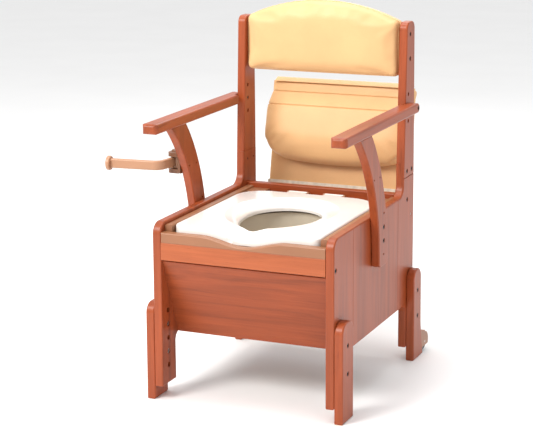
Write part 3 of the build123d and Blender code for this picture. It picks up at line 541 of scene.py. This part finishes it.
def fold_cover():
    """The leather strip sewn across the fold, which hides the hinges."""
    half = 0.184
    crest = 5.2 * MM
    section = [(20, -7), (15, -3), (10, 0.2), (6, 3)]
    section = [Vector((n * MM, up * MM, 0)) for n, up in section]
    section += [Vector((crest * sin(a), crest * cos(a), 0)) for a in [radians(d) for d in (45, 20, -5, -30, -55)]]
    section += [Vector((-8 * MM, 1.2 * MM, 0)), Vector((-14 * MM, 0.6 * MM, 0)), Vector((-22 * MM, 0.4 * MM, 0))]
    bm = bmesh.new()
    rows = []
    for i in range(49):
        x = CHAIR_MIDDLE_X - half + 2 * half * i / 48
        rows.append([bm.verts.new(Vector((x, 0, 0)) + Vector((0, FOLD.y, FOLD.z)) + LID_FRONT * p.x + LID_UP * p.y)
                     for p in section])
    for row, following in zip(rows, rows[1:]):
        for i in range(len(section) - 1):
            bm.faces.new((row[i], following[i], following[i + 1], row[i + 1]))
    bmesh.ops.recalc_face_normals(bm, faces=bm.faces)
    strip = new_object("lid_fold_cover", mesh_from(bm, "lid_fold_cover"))
    thick = strip.modifiers.new("thick", "SOLIDIFY")
    thick.thickness = 1.2 * MM
    thick.offset = 0
    finer = strip.modifiers.new("finer", "SUBSURF")
    finer.levels = finer.render_levels = 2
    apply_modifiers(strip)
    shade_smooth(strip)
    dress(strip, MATERIALS["leather"])
    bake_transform(strip)


backrest()
lid_rear_half()
lid_front_half()
fold_cover()


# ================================================================ studio
def area_light(name, place, target, size, power, colour=(1, 1, 1)):
    light = bpy.data.lights.new(name, "AREA")
    light.shape = "DISK"
    light.size = size
    light.energy = power
    light.color = colour
    obj = bpy.data.objects.new(name, light)
    obj.location = place
    obj.rotation_euler = (Vector(place) - Vector(target)).to_track_quat("Z", "Y").to_euler()
    bpy.context.scene.collection.objects.link(obj)


def studio():
    middle = Vector((CHAIR_MIDDLE_X, 0, 0.45))
    area_light("key", middle + Vector((-1.3, -2.6, 2.2)), middle, 1.5, 95, (1.0, 0.98, 0.95))
    area_light("fill", middle + Vector((2.6, -1.8, 1.2)), middle, 2.4, 4, (0.97, 0.98, 1.0))
    area_light("top", middle + Vector((-0.2, 0.0, 2.8)), middle, 2.2, 58)
    area_light("rim", middle + Vector((-0.6, 2.4, 2.0)), middle, 1.6, 16)
    world = bpy.data.worlds.new("studio")
    world.use_nodes = True
    background = world.node_tree.nodes["Background"]
    background.inputs["Color"].default_value = (1, 1, 1, 1)
    background.inputs["Strength"].default_value = AMBIENT
    bpy.context.scene.world = world
    bpy.context.scene.view_settings.view_transform = "Standard"


def floor():
    bm = bmesh.new()
    bmesh.ops.create_circle(bm, cap_ends=True, radius=12, segments=96)
    ground = new_object("floor", mesh_from(bm, "floor"))
    ground.location = (CHAIR_MIDDLE_X, 0, CAD_BOX[0][2] - 0.0005)
    material, nodes, links, shader = new_material("floor_paper")
    tint = noise(nodes, links, coordinates(nodes, links, (1, 1, 1)), 3, 2)
    links.new(ramp(nodes, links, tint, [(0.3, (0.94, 0.94, 0.94)), (0.7, (0.96, 0.96, 0.96))]),
              shader.inputs["Base Color"])
    shader.inputs["Roughness"].default_value = 0.9
    dress(ground, material)


def camera():
    data = bpy.data.cameras.new("camera")
    data.lens, data.sensor_width = CAMERA_LENS, 36
    data.shift_x, data.shift_y = CAMERA_SHIFT
    data.clip_end = 50
    back = Vector((cos(CAMERA_ELEVATION) * sin(CAMERA_AZIMUTH), -cos(CAMERA_ELEVATION) * cos(CAMERA_AZIMUTH),
                   sin(CAMERA_ELEVATION)))
    right = (-back).cross(Vector((0, 0, 1))).normalized()
    up = right.cross(-back)
    turned_right = right * cos(CAMERA_ROLL) + up * sin(CAMERA_ROLL)
    turned_up = up * cos(CAMERA_ROLL) - right * sin(CAMERA_ROLL)
    obj = bpy.data.objects.new("camera", data)
    obj.matrix_world = Matrix.Translation(TARGET + back * CAMERA_DISTANCE) @ Matrix(
        (turned_right, turned_up, back)).transposed().to_4x4()
    bpy.context.scene.collection.objects.link(obj)
    bpy.context.scene.camera = obj


studio()
floor()
camera()
